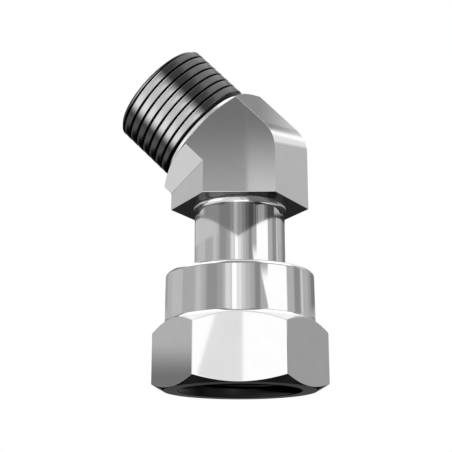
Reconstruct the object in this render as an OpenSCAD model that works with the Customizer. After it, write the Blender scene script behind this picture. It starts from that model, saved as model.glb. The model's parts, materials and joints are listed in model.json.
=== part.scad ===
// Forty-five degree elbow fitting, in millimetres: a mitred hexagon body with
// a male thread at one end and a swivel nut at the other.
// The origin is the centre of the nut's open face, +Z runs up the tail, and
// the male end leans towards -X. Threads are plain: the male one is drawn at
// its major diameter and the nut's at its minor diameter.

/* [Elbow body] */
// Across the flats of the body's hexagon
body_af = 17.7; // [17.5:0.1:22]
// Angle that the male end leans from the tail's axis
bend_angle = 45; // [35:1:55]
// Underside of the body to the crossing of the two axes
leg_length = 6.8; // [6:0.1:12]
// Crossing of the two axes to the hexagon's end face at the male end
hex_reach = 6.3; // [5.8:0.1:12]
// Diameter at which the end face runs out into its chamfer
hex_land_d = 17.4; // [16.8:0.1:17.8]
// Slope of the end face's chamfer
hex_chamfer_angle = 20; // [10:1:35]
// Radius of the rounded bend on the outer side
bend_radius = 6; // [2:0.5:8]

/* [Male end] */
// Major diameter of the thread
thread_d = 16.662; // [16.2:0.002:16.8]
// Minor diameter of the thread
thread_core_d = 14.95; // [14.6:0.01:15.2]
// Hexagon's end face to the tip of the male end
male_length = 10.9; // [9:0.1:16]
// Chamfer at the tip
male_chamfer = 0.5; // [0.2:0.1:1]
// Width of the relief groove, on its floor
relief_w = 0.6; // [0.4:0.1:2]
// Diameter of the relief groove's floor
relief_d = 14.4; // [14:0.1:14.8]
// Slope of the groove's side where the thread starts
relief_angle = 60; // [30:5:75]
// Mouth of the coned seat inside the tip
seat_d = 13; // [11:0.1:13.4]
// Full angle of the coned seat, and of the nose that fits one like it
seat_angle = 60; // [55:1:65]

/* [Flow passage] */
// Diameter of the drilled passage
bore_d = 7.8; // [6:0.1:8.2]

/* [Swivel tail] */
// Diameter of the neck
neck_d = 13.3; // [13:0.1:14]
// Neck left bare between the nut and the body
neck_bare = 10.1; // [6:0.1:30]
// Diameter of the spigot brazed into the body
spigot_d = 11; // [10.4:0.1:12]
// Length of the spigot
spigot_length = 4.6; // [3:0.1:5.6]
// Chamfer at the spigot's end
spigot_break = 0.3; // [0.1:0.1:0.5]
// Gap that the filler metal runs into round the spigot
braze_gap = 0.03; // [0.02:0.01:0.05]
// Leg of the braze fillet round the neck
braze_leg = 0.35; // [0.3:0.05:1]
// Thickness of the braze fillet where it feathers out
braze_feather = 0.05; // [0.02:0.01:0.1]
// Nut's open face to the tip of the coned nose
nose_depth = 4.5; // [4.4:0.1:5]
// Diameter of the nose's flat tip
nose_tip_d = 9.3; // [9:0.1:10]

/* [Nose ring] */
// Thickness of the rubber ring
ring_section = 1.5; // [1.2:0.1:1.6]
// Diameter of the cone where the ring's groove is cut
ring_seat_d = 11.5; // [11.2:0.1:11.8]
// How far the ring stands out of the cone
ring_proud = 0.35; // [0.2:0.05:0.5]
// Room for the ring on each side of its groove
ring_room = 0.12; // [0.05:0.01:0.2]

/* [Swivel nut] */
// Across the flats of the nut
nut_af = 22; // [22:0.5:24]
// Height of the nut's hexagon
nut_hex_h = 9.5; // [9.5:0.1:14]
// Chamfer slope at the nut's open face
nut_face_angle = 30; // [15:1:40]
// Chamfer slope where the hexagon meets the collar
nut_top_angle = 36; // [15:1:40]
// Diameter of the collar at its top
collar_d = 21.5; // [20:0.1:21.7]
// Diameter of the collar at its foot
collar_foot_d = 21.8; // [20:0.1:21.8]
// Height of the collar
collar_h = 7.2; // [6.2:0.1:12]
// Radius round the collar's top edge
collar_edge_r = 0.5; // [0.2:0.1:1]
// Radius in the corner between the collar and the hexagon
collar_root_r = 0.1; // [0.02:0.02:0.1]
// Mouth of the countersink at the nut's open face
nut_mouth_d = 17.6; // [17.2:0.1:18.4]
// Length of thread below the relief, from the open face
nut_thread_depth = 7.6; // [6:0.1:7.8]
// Diameter of the relief above the thread
nut_relief_d = 17.2; // [16.8:0.1:17.6]
// Width of the relief above the thread
nut_relief_w = 1.5; // [1:0.1:1.6]
// Gap all round between the neck and the collar
swivel_gap = 0.08; // [0.05:0.01:0.1]

/* [Retaining wire] */
// Thickness of the wire
wire_d = 2; // [1.5:0.1:2.2]
// Top of the collar to the middle of the wire
wire_drop = 3.2; // [2.4:0.1:4]
// Gap round the wire in its grooves
wire_gap = 0.05; // [0.04:0.01:0.08]
// Turn that the wire makes round the neck
wire_turn = 340; // [270:5:345]
// Direction from which the wire's hole enters its groove
wire_azimuth = 150; // [0:5:355]
// How far the wire's end stays below the collar
wire_sunk = 0.8; // [0.3:0.1:2]

/* [Hidden] */
$fn = 96;
eps = 0.01;
// How far joined shapes run into each other, and cutting ones past what they cut
overlap = 1;
body_corner_r = body_af / 2 / cos(30);
nut_flat_r = nut_af / 2;
nut_corner_r = nut_flat_r / cos(30);
nut_top_z = nut_hex_h + collar_h;
body_base_z = nut_top_z + neck_bare;
crossing_z = body_base_z + leg_length;
thread_r = thread_d / 2;
bore_r = bore_d / 2;
neck_r = neck_d / 2;
seat_slope = tan(seat_angle / 2);
tip_reach = hex_reach + male_length;
relief_run = (thread_r - relief_d / 2) / tan(relief_angle);
nose_top_z = nose_depth + (neck_r - nose_tip_d / 2) / seat_slope;
wire_z = nut_top_z - wire_drop;
wire_ring_r = neck_r + swivel_gap / 2;
wire_groove_r = wire_d / 2 + wire_gap;
wire_hole_l = sqrt(pow(collar_d / 2, 2) - pow(wire_ring_r, 2));
ring_angle = seat_angle / 2;
ring_depth = ring_section - ring_proud;
ring_seat = [ring_seat_d / 2, nose_depth + (ring_seat_d - nose_tip_d) / 2 / seat_slope];

// Places its children with +Z along the male end and the origin at the crossing
module along_male() {
    translate([0, 0, crossing_z]) rotate([0, -bend_angle, 0]) children();
}

// Places its children with the mitre plane as their XY plane
module on_mitre() {
    translate([0, 0, crossing_z]) rotate([0, -bend_angle / 2, 0]) children();
}

// Hexagon with two flats facing -Y and +Y
module hexagon(across_flats) {
    circle(r = across_flats / 2 / cos(30), $fn = 6);
}

// The body's hexagon without its two flats facing -Y and +Y, which both legs share
module leg_section() {
    polygon([[body_corner_r, 0], [0, body_af], [-body_corner_r, 0], [0, -body_af]]);
}

// Everything on one side of the mitre: -1 is below it, 1 is above it
module mitre_side(side) {
    size = 4 * (body_af + tip_reach + leg_length);
    on_mitre() translate([0, 0, side * size / 2]) cube(size, center = true);
}

// Lower leg, straight above the tail, cut off at the mitre
module tail_leg() {
    intersection() {
        translate([0, 0, body_base_z]) linear_extrude(leg_length + body_af) leg_section();
        mitre_side(-1);
    }
}

// Outline that chamfers the corners of the hexagon's end face when it is revolved
module hex_end_outline() {
    reach = 2 * (body_af + leg_length);
    drop = (reach - hex_land_d / 2) * tan(hex_chamfer_angle);
    polygon([
        [0, -reach],
        [reach, -reach],
        [reach, hex_reach - drop],
        [hex_land_d / 2, hex_reach],
        [0, hex_reach]
    ]);
}

// Upper leg, towards the male end, cut off at the mitre
module male_leg() {
    intersection() {
        along_male() translate([0, 0, -body_af]) linear_extrude(hex_reach + body_af) leg_section();
        mitre_side(1);
    }
}

// Both legs between the two flats that they share, with the end face chamfered
module mitred_block() {
    reach = 4 * (body_af + hex_reach + leg_length);
    intersection() {
        union() {
            tail_leg();
            male_leg();
        }
        translate([0, 0, crossing_z]) cube([reach, body_af, reach], center = true);
        along_male() rotate_extrude() hex_end_outline();
    }
}

// What the rounded bend takes off one of the two outer mitre edges
module bend_cut(side) {
    // Direction of the edge's outward bisector, seen along the mitre plane's normal
    azimuth = atan(tan(30) / cos(bend_angle / 2));
    // Half the angle between the two faces' normals
    half = asin(cos(30) * sin(bend_angle / 2));
    centre = (body_af / 2 - bend_radius) / cos(half);
    touch = [centre + bend_radius * cos(half), bend_radius * sin(half)];
    on_mitre() rotate([0, 0, side * azimuth]) rotate([90, 0, 0])
        linear_extrude(4 * body_af, center = true) difference() {
            translate([touch[0], -touch[1]]) square([body_af, 2 * touch[1]]);
            translate([centre, 0]) circle(bend_radius);
        }
}

// Outline of the male end: relief groove, thread at its major diameter, tip
module male_outline() {
    groove_end = hex_reach + relief_w;
    polygon([
        [0, hex_reach - overlap],
        [relief_d / 2, hex_reach - overlap],
        [relief_d / 2, groove_end],
        [thread_r, groove_end + relief_run],
        [thread_r, tip_reach - male_chamfer],
        [thread_r - male_chamfer, tip_reach],
        [0, tip_reach]
    ]);
}

// Passage drilled from both ends, with the spigot's socket and the coned seat
module passage() {
    socket_r = spigot_d / 2 + braze_gap;
    translate([0, 0, body_base_z - eps]) cylinder(r = bore_r, h = leg_length + eps);
    translate([0, 0, body_base_z - eps]) cylinder(r = socket_r, h = spigot_length + braze_gap + eps);
    along_male() sphere(r = bore_r);
    along_male() cylinder(r = bore_r, h = tip_reach + eps);
    along_male() rotate_extrude() polygon([
        [0, tip_reach - seat_d / 2 / seat_slope],
        [seat_d / 2 + eps * seat_slope, tip_reach + eps],
        [0, tip_reach + eps]
    ]);
}

// Mitred hexagon body with the male end, in one piece
module elbow_body() {
    color([0.74, 0.74, 0.73]) difference() {
        union() {
            mitred_block();
            along_male() rotate_extrude() male_outline();
        }
        bend_cut(-1);
        bend_cut(1);
        passage();
    }
}

// Tail: coned nose, neck with its wire groove, and the spigot in the body
module swivel_tail() {
    spigot_top = body_base_z + spigot_length;
    color([0.8, 0.8, 0.79]) rotate_extrude() difference() {
        polygon([
            [bore_r, nose_depth],
            [nose_tip_d / 2, nose_depth],
            [neck_r, nose_top_z],
            [neck_r, body_base_z],
            [spigot_d / 2, body_base_z],
            [spigot_d / 2, spigot_top - spigot_break],
            [spigot_d / 2 - spigot_break, spigot_top],
            [bore_r, spigot_top]
        ]);
        translate([wire_ring_r, wire_z]) circle(wire_groove_r);
        translate(ring_seat) rotate(-ring_angle)
            translate([-ring_depth, -ring_section / 2 - ring_room])
                square([2 * ring_depth, ring_section + 2 * ring_room]);
    }
}

// Fillet of filler metal in the corner between the neck and the body
module braze_ring() {
    color([0.84, 0.84, 0.82]) rotate_extrude() difference() {
        translate([neck_r, body_base_z - braze_leg]) square(braze_leg);
        translate([neck_r + braze_leg, body_base_z - braze_leg]) circle(braze_leg - braze_feather);
    }
}

// Rubber ring on the floor of its groove in the coned nose
module nose_ring() {
    lift = ring_depth - ring_section / 2 - eps;
    color([0.08, 0.08, 0.08]) rotate_extrude()
        translate(ring_seat) rotate(-ring_angle) translate([-lift, 0]) circle(ring_section / 2);
}

// Outline that chamfers both ends of the nut's hexagon when it is revolved
module nut_hex_outline() {
    reach = nut_corner_r + overlap - nut_flat_r;
    polygon([
        [0, 0],
        [nut_flat_r, 0],
        [nut_flat_r + reach, reach * tan(nut_face_angle)],
        [nut_flat_r + reach, nut_hex_h - reach * tan(nut_top_angle)],
        [nut_flat_r, nut_hex_h],
        [0, nut_hex_h]
    ]);
}

// Outline of the collar, with its rounded top edge and the fillet at its root
module collar_outline() {
    collar_r = collar_d / 2;
    foot_r = collar_foot_d / 2;
    edge = [collar_r - collar_edge_r, nut_top_z - collar_edge_r];
    polygon([
        [0, nut_hex_h - overlap],
        [foot_r, nut_hex_h - overlap],
        [foot_r, nut_hex_h + collar_root_r],
        [collar_r, edge[1]],
        edge,
        [edge[0], nut_top_z],
        [0, nut_top_z]
    ]);
    translate(edge) circle(collar_edge_r);
    translate([foot_r, nut_hex_h]) difference() {
        square(collar_root_r);
        translate([collar_root_r, collar_root_r]) circle(collar_root_r);
    }
}

// Outline of the nut's inside: countersink, thread, relief and running bore
module nut_bore_outline() {
    core_r = thread_core_d / 2;
    relief_top = nut_thread_depth + nut_relief_w;
    polygon([
        [0, -eps],
        [nut_mouth_d / 2 + eps, -eps],
        [core_r, nut_mouth_d / 2 - core_r],
        [core_r, nut_thread_depth],
        [nut_relief_d / 2, nut_thread_depth],
        [nut_relief_d / 2, relief_top],
        [neck_r + swivel_gap, relief_top],
        [neck_r + swivel_gap, nut_top_z + eps],
        [0, nut_top_z + eps]
    ]);
}

// Union nut with its collar, wire groove and the hole that the wire enters by
module swivel_nut() {
    color([0.86, 0.86, 0.85]) difference() {
        union() {
            intersection() {
                linear_extrude(nut_hex_h) hexagon(nut_af);
                rotate_extrude() nut_hex_outline();
            }
            rotate_extrude() collar_outline();
        }
        rotate_extrude() nut_bore_outline();
        translate([0, 0, wire_z]) {
            rotate_extrude() translate([wire_ring_r, 0]) circle(wire_groove_r);
            rotate([0, 0, wire_azimuth]) translate([wire_ring_r, 0, 0])
                rotate([90, 0, 0]) cylinder(r = wire_groove_r, h = nut_corner_r);
        }
    }
}

// Wire that holds the nut: most of a turn round the neck and a straight end
module retaining_wire() {
    color([0.6, 0.6, 0.6]) translate([0, 0, wire_z]) rotate([0, 0, wire_azimuth]) {
        rotate_extrude(angle = wire_turn) translate([wire_ring_r, 0]) circle(wire_d / 2);
        translate([wire_ring_r, 0, 0]) rotate([90, 0, 0]) cylinder(d = wire_d, h = wire_hole_l - wire_sunk);
    }
}

elbow_body();
swivel_tail();
braze_ring();
nose_ring();
swivel_nut();
retaining_wire();
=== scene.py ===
"""Looks of a forty-five degree elbow fitting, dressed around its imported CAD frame.

The fitting is a mitred hexagon body with a male thread at its leaning end, a
round tail brazed into the body, and a union nut that spins on the tail and is
held there by a wire. Shapes are worked out in millimetres and made in metres.
Every piece is one closed surface: the round and six-sided ones are closed
paths, one for each direction round the axis, whose corners are softened.
"""

import json
import logging
import math
from dataclasses import dataclass, replace
from enum import Enum, IntEnum

import bmesh
import bpy
import numpy as np
from mathutils import Euler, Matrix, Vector


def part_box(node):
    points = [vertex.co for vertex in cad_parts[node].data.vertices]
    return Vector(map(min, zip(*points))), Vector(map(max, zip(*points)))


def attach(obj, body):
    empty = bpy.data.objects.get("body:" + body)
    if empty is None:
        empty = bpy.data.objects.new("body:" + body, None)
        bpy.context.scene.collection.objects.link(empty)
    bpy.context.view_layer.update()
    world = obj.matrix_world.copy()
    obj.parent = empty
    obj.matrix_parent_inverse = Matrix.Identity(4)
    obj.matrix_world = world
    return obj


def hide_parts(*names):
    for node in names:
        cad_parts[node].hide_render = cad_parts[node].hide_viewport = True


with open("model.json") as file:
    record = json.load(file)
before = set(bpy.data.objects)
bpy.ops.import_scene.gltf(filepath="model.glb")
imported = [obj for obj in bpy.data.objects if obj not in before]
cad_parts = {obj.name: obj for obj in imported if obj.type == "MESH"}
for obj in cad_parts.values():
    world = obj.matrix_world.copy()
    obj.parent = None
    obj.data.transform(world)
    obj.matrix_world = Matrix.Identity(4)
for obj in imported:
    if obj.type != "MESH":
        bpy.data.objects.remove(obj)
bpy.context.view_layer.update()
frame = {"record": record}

# EDGE_BREAK and TOUCH are in millimetres, MERGE_DISTANCE is in metres.
LOG = logging.getLogger("elbow")
MM = 0.001
FULL_TURN = 2 * math.pi
SIXTH_TURN = math.pi / 3
EDGE_BREAK = 0.05
MERGE_DISTANCE = 2e-7
TINY = 1e-9
TOUCH = 1e-6
ROOM_USED = 0.98
ARC_PLACES = np.array([0, 0.33, 0.66, 1])
ARC_CLEARANCE = 1.9
FLANK_EASE = 0.09

Array = np.ndarray
Socket = bpy.types.NodeSocket


# Shapes


def unit(vectors: Array) -> Array:
    """Vectors of length one in the same directions, and zero where there is no length.

    Args:
        vectors: Any array whose last axis holds the components.

    Returns:
        An array of the same shape.
    """
    length = np.linalg.norm(vectors, axis=-1, keepdims=True)
    return np.divide(vectors, length, out=np.zeros_like(vectors), where=length > TINY)


def soften(corners: Array, rounds: Array, steps: int = 6, hold: float = 0.12) -> Array:
    """Rows of points along closed paths with every corner rounded.

    A corner P with a turn t between its sides starts to round at a distance
    round x tan(t/2) from P. Between those two points A and B runs the conic
    ((1-u)^2 A + 2u(1-u)w P + u^2 B) / ((1-u)^2 + 2u(1-u)w + u^2) with
    w = cos(t/2), which is an arc of a circle. A row just outside each end holds
    the shading of the flat side. Two corners share a side in the ratio of their
    rounds when it is too short for both.

    Args:
        corners: Corner points, corners x columns x 3, each column a closed path.
        rounds: Radius at each corner, corners x columns.
        steps: Steps along each rounded corner.
        hold: Distance from a rounded corner to the row that holds its side flat.

    Returns:
        Points, rows x columns x 3, with steps + 3 rows for each corner.
    """
    sides, rooms = [], []
    for step in (1, -1):
        side = np.roll(corners, step, axis=0) - corners
        share = rounds / (rounds + np.roll(rounds, step, axis=0))
        sides.append(unit(side))
        rooms.append(np.linalg.norm(side, axis=-1) * share)
    opening = np.clip((sides[0] * sides[1]).sum(-1), -1, 1)
    tangent = np.sqrt((1 + opening) / np.maximum(1 - opening, TINY))
    weight = np.sqrt((1 - opening) / 2)[..., None]
    reach = np.minimum(rounds * tangent, ROOM_USED * np.minimum(*rooms))
    start, end = (corners + side * reach[..., None] for side in sides)
    held = [
        corners + side * np.minimum(reach + hold, room)[..., None]
        for side, room in zip(sides, rooms)
    ]
    u = np.linspace(0, 1, steps + 1)[:, None, None, None]
    parts = (1 - u) ** 2, 2 * u * (1 - u) * weight, u**2
    arcs = (parts[0] * start + parts[1] * corners + parts[2] * end) / sum(parts)
    rows = np.concatenate([held[0][None], arcs, held[1][None]])
    return rows.swapaxes(0, 1).reshape(-1, *corners.shape[1:])


def ring(radius: Array | float, height: Array | float, angles: Array) -> Array:
    """Points round the Z axis: radius x (cos a, sin a) and the height.

    Args:
        radius: Radius of all points, of each column, or of each point.
        height: Their height, in the same way.
        angles: Angle of each column round the axis.

    Returns:
        The points, with one more axis of 3.
    """
    x, y = radius * np.cos(angles), radius * np.sin(angles)
    return np.stack(np.broadcast_arrays(x, y, height), -1)


def turned(profile: list[tuple], angles: Array) -> Array:
    """Corner points of a turned or six-sided shape.

    Args:
        profile: Radius and height of each corner, each a number or one for each
            column.
        angles: Angle of each column round the axis.

    Returns:
        Points, corners x columns x 3.
    """
    return np.stack([ring(radius, height, angles) for radius, height in profile])


def columns(count: int) -> Array:
    """Angles of evenly spaced columns over a full turn.

    Args:
        count: Number of faces round the axis.

    Returns:
        The angles, both ends included.
    """
    return np.linspace(0, FULL_TURN, count + 1)


def new_object(name: str, data: bpy.types.ID) -> bpy.types.Object:
    """A new object in the scene.

    Args:
        name: Its name.
        data: Its mesh, camera or lamp.

    Returns:
        The object.
    """
    made = bpy.data.objects.new(name, data)
    bpy.context.scene.collection.objects.link(made)
    return made


def closed_mesh(name: str, grid: Array, loop: bool = True) -> bpy.types.Object:
    """A mesh object from a grid of points whose opposite edges meet.

    The rows and columns that lie on each other are merged, which closes the
    seams and also drops the faces that a clamped row leaves without area.

    Args:
        name: Name of the piece.
        grid: Points in millimetres, rows x columns x 3.
        loop: Whether the last row goes on to the first one.

    Returns:
        The object, smooth shaded, with its faces pointing outwards.
    """
    if loop:
        grid = np.concatenate([grid, grid[:1]])
    rows, count = grid.shape[:2]
    index = np.arange(rows * count).reshape(rows, count)
    quads = np.stack([index[:-1, :-1], index[:-1, 1:], index[1:, 1:], index[1:, :-1]], axis=-1)
    mesh = bpy.data.meshes.new(name)
    mesh.from_pydata((grid.reshape(-1, 3) * MM).tolist(), [], quads.reshape(-1, 4).tolist())
    work = bmesh.new()
    work.from_mesh(mesh)
    bmesh.ops.remove_doubles(work, verts=work.verts, dist=MERGE_DISTANCE)
    bmesh.ops.dissolve_degenerate(work, edges=work.edges, dist=MERGE_DISTANCE)
    bmesh.ops.recalc_face_normals(work, faces=work.faces)
    if work.calc_volume(signed=True) < 0:
        bmesh.ops.reverse_faces(work, faces=work.faces)
    work.to_mesh(mesh)
    work.free()
    mesh.shade_smooth()
    return new_object(name, mesh)


@dataclass(frozen=True)
class Hexagon:
    """A hexagon with softened corners, two of them on the X axis.

    Attributes:
        flats: Distance across the flats.
        corner: Radius of each softened corner.
        between: Columns along each side between two corners.
    """

    flats: float
    corner: float = 0.15
    between: int = 26

    @property
    def centre_distance(self) -> float:
        """Distance from the axis to the centre of a corner's arc."""
        return (self.flats / 2 - self.corner) / math.cos(math.pi / 6)

    @property
    def arc_end(self) -> float:
        """Angle from a corner at which its arc meets the side."""
        along = self.centre_distance + self.corner * math.cos(math.pi / 6)
        return math.atan2(self.corner / 2, along)

    def angles(self) -> Array:
        """Angles of the columns over a full turn, crowded at the corners.

        Returns:
            Angles from 0 to a full turn, both ends included.
        """
        arc = self.arc_end * ARC_PLACES
        clear = self.arc_end * ARC_CLEARANCE
        side = np.linspace(clear, SIXTH_TURN - clear, self.between)
        one_sixth = np.concatenate([arc, side, SIXTH_TURN - arc[:0:-1]])
        start = np.arange(6) * SIXTH_TURN
        return np.append((start[:, None] + one_sixth).ravel(), FULL_TURN)

    def radius(self, angles: Array) -> Array:
        """Distance from the axis to the outline at each angle.

        With b the angle from the nearest corner, it is d cos b +
        sqrt(c^2 - d^2 sin^2 b) on the corner's arc, whose centre lies at d and
        whose radius is c, and half the flats over cos(30 - b) on the side.

        Args:
            angles: Angles round the axis.

        Returns:
            One radius for each angle.
        """
        b = np.abs((angles + SIXTH_TURN / 2) % SIXTH_TURN - SIXTH_TURN / 2)
        d = self.centre_distance
        under = np.maximum(self.corner**2 - (d * np.sin(b)) ** 2, 0)
        on_arc = d * np.cos(b) + np.sqrt(under)
        on_side = self.flats / 2 / np.cos(SIXTH_TURN / 2 - b)
        return np.where(b < self.arc_end, on_arc, on_side)


@dataclass(frozen=True)
class Thread:
    """A right-hand thread cut into a round face, along its own axis.

    A piece holds the form of its thread, and sets crest, start and end when the
    rows beside the thread are known.

    Attributes:
        depth: Depth of the groove, positive towards the axis for a male thread
            and negative for a female one.
        pitch: Advance in one turn.
        flank: Slope of the groove's sides, from square to the axis.
        root: Half the width of the groove's floor.
        crown: How far a crest falls from its middle to its edges.
        phase: Part of a turn by which the groove is set back.
        crest: Radius at the crests.
        start: Height at which its rows begin.
        end: Height at which its rows end.
        flank_rows: Rows on each side of the groove.
        crest_rows: Rows on each half of a crest.
    """

    depth: float
    pitch: float = 1.337
    flank: float = math.radians(27.5)
    root: float = 0.1
    crown: float = 0.0
    phase: float = 0.0
    crest: float = 0.0
    start: float = 0.0
    end: float = 0.0
    flank_rows: int = 7
    crest_rows: int = 5

    @property
    def half_width(self) -> float:
        """Half the groove's width at the crests."""
        return self.root + abs(self.depth) * math.tan(self.flank)

    def cut(self, height: Array, angles: Array) -> Array:
        """How far the groove reaches in from the crests at each point.

        The distance x to the groove's middle is |frac(h/pitch - a/turn + phase)
        - 1/2| x pitch. The groove is as deep as depth x smooth((half width - x) /
        (half width - root)), with smooth easing both ends of the flank. The
        crests fall by crown x ((x - pitch/2) / (half width - pitch/2))^2.

        Args:
            height: Heights along the axis.
            angles: Angles round the axis.

        Returns:
            Depth of the groove, from 0 at the crests to depth.
        """
        turn = (height - self.start) / self.pitch - angles / FULL_TURN + self.phase
        x = np.abs(turn % 1 - 0.5) * self.pitch
        flank = np.clip((self.half_width - x) / (self.half_width - self.root), 0, 1)
        eased = flank - FLANK_EASE * np.sin(FULL_TURN * flank)
        off_middle = (self.pitch / 2 - x) / (self.pitch / 2 - self.half_width)
        crest = self.crown * np.clip(off_middle, 0, 1) ** 2
        return crest + (self.depth - self.crown) * eased

    def heights(self, angles: Array) -> Array:
        """Heights of rows that follow the thread, held between start and end.

        Args:
            angles: Angles of the columns.

        Returns:
            Heights, rows x columns.
        """
        edge = self.half_width / self.pitch
        flank = np.linspace(0.5 - edge, 0.5 - self.root / self.pitch, self.flank_rows)
        crest = np.linspace(0, 0.5 - edge, self.crest_rows + 1)[:-1]
        near = np.concatenate([crest, flank, [0.5]])
        phases = np.concatenate([near, 1 - near[-2:0:-1]])
        turns = math.ceil((self.end - self.start) / self.pitch) + 2
        rows = (np.arange(turns)[:, None] + phases).ravel() - 1 - self.phase
        follow = self.start + self.pitch * (rows[:, None] + angles / FULL_TURN)
        return np.clip(follow, self.start, self.end)

    def sink(self, points: Array, angles: Array, reached: Array) -> Array:
        """Moves points on to the groove's face where that lies beyond them.

        The radius becomes min(radius, crest - cut) on a male thread and
        max(radius, crest - cut) on a female one.

        Args:
            points: Points round the thread's axis, rows x columns x 3.
            angles: Angles of the columns.
            reached: Which points the groove may reach.

        Returns:
            The points with the groove.
        """
        radius = np.hypot(points[..., 0], points[..., 1])
        wall = self.crest - self.cut(points[..., 2], angles)
        further = np.minimum if self.depth > 0 else np.maximum
        sunk = np.where(reached, further(radius, wall), radius)
        return np.concatenate([points[..., :2] * (sunk / radius)[..., None], points[..., 2:]], -1)


# Finishes

# Scales are in clouds to a metre, spans are levels of a noise or of a normal's
# height between which a tone fades, and heights and fades are in millimetres.
CLOUD_SCALE = 420.0
CLOUD_SPAN = (0.3, 0.7)
LOOKS_DOWN = (-0.7, -0.63)
MARK_HEIGHT = 0.02
BLOOM_SCALE = 3000.0
BLOOM_HEIGHT = 0.03
END_FADE = 0.1
# Width over which a thread's painted shade fades in from its lit side.
LIT_SIDE_FADE = 1.6


class Grain(Enum):
    """Which way the fine marks of a surface run."""

    TURNED = "rings round the piece's own axis"
    MOULDED = "no direction"


class NodeSheet:
    """A small helper that adds and links the nodes of one node tree."""

    def __init__(self, owner: bpy.types.Material | bpy.types.World) -> None:
        """Starts from an empty tree.

        Args:
            owner: The material or world whose tree it is.
        """
        owner.use_nodes = True
        self.tree = owner.node_tree
        self.tree.nodes.clear()

    def add(self, kind: str, inputs: dict | None = None, **settings: object) -> bpy.types.Node:
        """Adds a node, sets its properties and fills its inputs.

        Args:
            kind: The node's type.
            inputs: Values or sockets for inputs, by name or index.
            **settings: Properties of the node.

        Returns:
            The node.
        """
        node = self.tree.nodes.new(kind)
        for name, value in settings.items():
            setattr(node, name, value)
        for name, value in (inputs or {}).items():
            if isinstance(value, Socket):
                self.tree.links.new(value, node.inputs[name])
            else:
                node.inputs[name].default_value = value
        return node

    def math(self, operation: str, *values: object) -> Socket:
        """Result of a Math node.

        Args:
            operation: The node's operation.
            *values: Its inputs in order, each a number or a socket.

        Returns:
            The result's socket.
        """
        return self.add("ShaderNodeMath", dict(enumerate(values)), operation=operation).outputs[0]

    def ramp(self, value: object, low: float, high: float, to: tuple = (0, 1)) -> Socket:
        """A smooth step of a value from one level to another.

        Args:
            value: Socket that is read.
            low: Value at which the first level ends.
            high: Value at which the second level starts.
            to: The two levels.

        Returns:
            The result's socket.
        """
        names = ("Value", "From Min", "From Max", "To Min", "To Max")
        inputs = dict(zip(names, (value, low, high, *to)))
        node = self.add("ShaderNodeMapRange", inputs, interpolation_type="SMOOTHSTEP")
        return node.outputs["Result"]

    def window(self, value: Socket, low: float, high: float, foot: float, head: float) -> Socket:
        """A level that is 1 between two edges and fades out at both.

        Args:
            value: Socket that is read.
            low: Lower edge.
            high: Upper edge.
            foot: Width of the fade at the lower edge.
            head: Width of the fade at the upper edge.

        Returns:
            The level's socket.
        """
        rising = self.ramp(value, low - foot / 2, low + foot / 2)
        falling = self.ramp(value, high - head / 2, high + head / 2, (1, 0))
        return self.math("MULTIPLY", rising, falling)

    def mix(self, cover: Socket, under: Socket | float, over: Socket | float) -> Socket:
        """One level laid over another.

        Args:
            cover: How much of the upper level shows.
            under: The lower level.
            over: The upper level.

        Returns:
            The mixed level's socket.
        """
        node = self.add("ShaderNodeMix", {0: cover, 2: under, 3: over}, data_type="FLOAT")
        return node.outputs[0]

    def grey(self, level: Socket) -> Socket:
        """A grey of one level.

        Args:
            level: The level.

        Returns:
            The colour's socket.
        """
        return self.add("ShaderNodeCombineColor", {0: level, 1: level, 2: level}).outputs[0]

    def noise(self, vector: Socket, scale: float, detail: float) -> Socket:
        """A cloudy level.

        Args:
            vector: Position that it reads.
            scale: Clouds in a metre.
            detail: How many finer layers lie over them.

        Returns:
            The level's socket.
        """
        inputs = {"Vector": vector, "Scale": scale, "Detail": detail}
        return self.add("ShaderNodeTexNoise", inputs).outputs["Fac"]

    def output(self, kind: str, shader: bpy.types.Node) -> None:
        """Ends the tree with its output.

        Args:
            kind: Type of the output node.
            shader: The node whose shader goes there.
        """
        self.add(kind, {"Surface": shader.outputs[0]})


@dataclass(frozen=True)
class Zone:
    """A part of a piece with another grey, between two heights and two radii, used here to paint
    highlights and shade.

    Attributes:
        start: Height along the marks' axis at which it starts, in millimetres.
        end: Height at which it ends.
        inner: Least radius.
        outer: Greatest radius.
        grey: Grey of the metal there.
        roughness: Blur of its reflections.
        soft: Width over which it fades in at both radii.
        lit_side: Middle and half width of the side that keeps the full grey as
            painted light, as distances to one side of the axis, or None where the
            zone has no painted shade.
        shaded_part: Part of the grey that is left away from that side, as painted shade.
    """

    start: float
    end: float
    inner: float
    outer: float
    grey: float
    roughness: float
    soft: float = 0.1
    lit_side: tuple[float, float] | None = None
    shaded_part: float = 0.14

    def cover(self, sheet: NodeSheet, radius: Socket, height: Socket) -> Socket:
        """How much of the zone shows at each point.

        Args:
            sheet: The material's node tree.
            radius: Distance from the axis.
            height: Height along it.

        Returns:
            The cover's socket.
        """
        windows = [
            sheet.window(value, low * MM, high * MM, fade * MM, fade * MM)
            for value, low, high, fade in (
                (height, self.start, self.end, END_FADE),
                (radius, self.inner, self.outer, self.soft),
            )
        ]
        return sheet.math("MULTIPLY", *windows)

    def shade(self, sheet: NodeSheet, aside: Socket) -> Socket | float:
        """Grey of the zone, with painted shade away from its lit side.

        Args:
            sheet: The material's node tree.
            aside: Distance to one side of the axis.

        Returns:
            The grey.
        """
        if not self.lit_side:
            return self.grey
        # Painted shade: away from the lit side the grey falls to its shaded part.
        middle, half = (value * MM for value in self.lit_side)
        away = sheet.math("ABSOLUTE", sheet.math("SUBTRACT", aside, middle))
        return sheet.ramp(away, half, half + LIT_SIDE_FADE * MM, (self.grey, self.grey * self.shaded_part))


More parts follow.
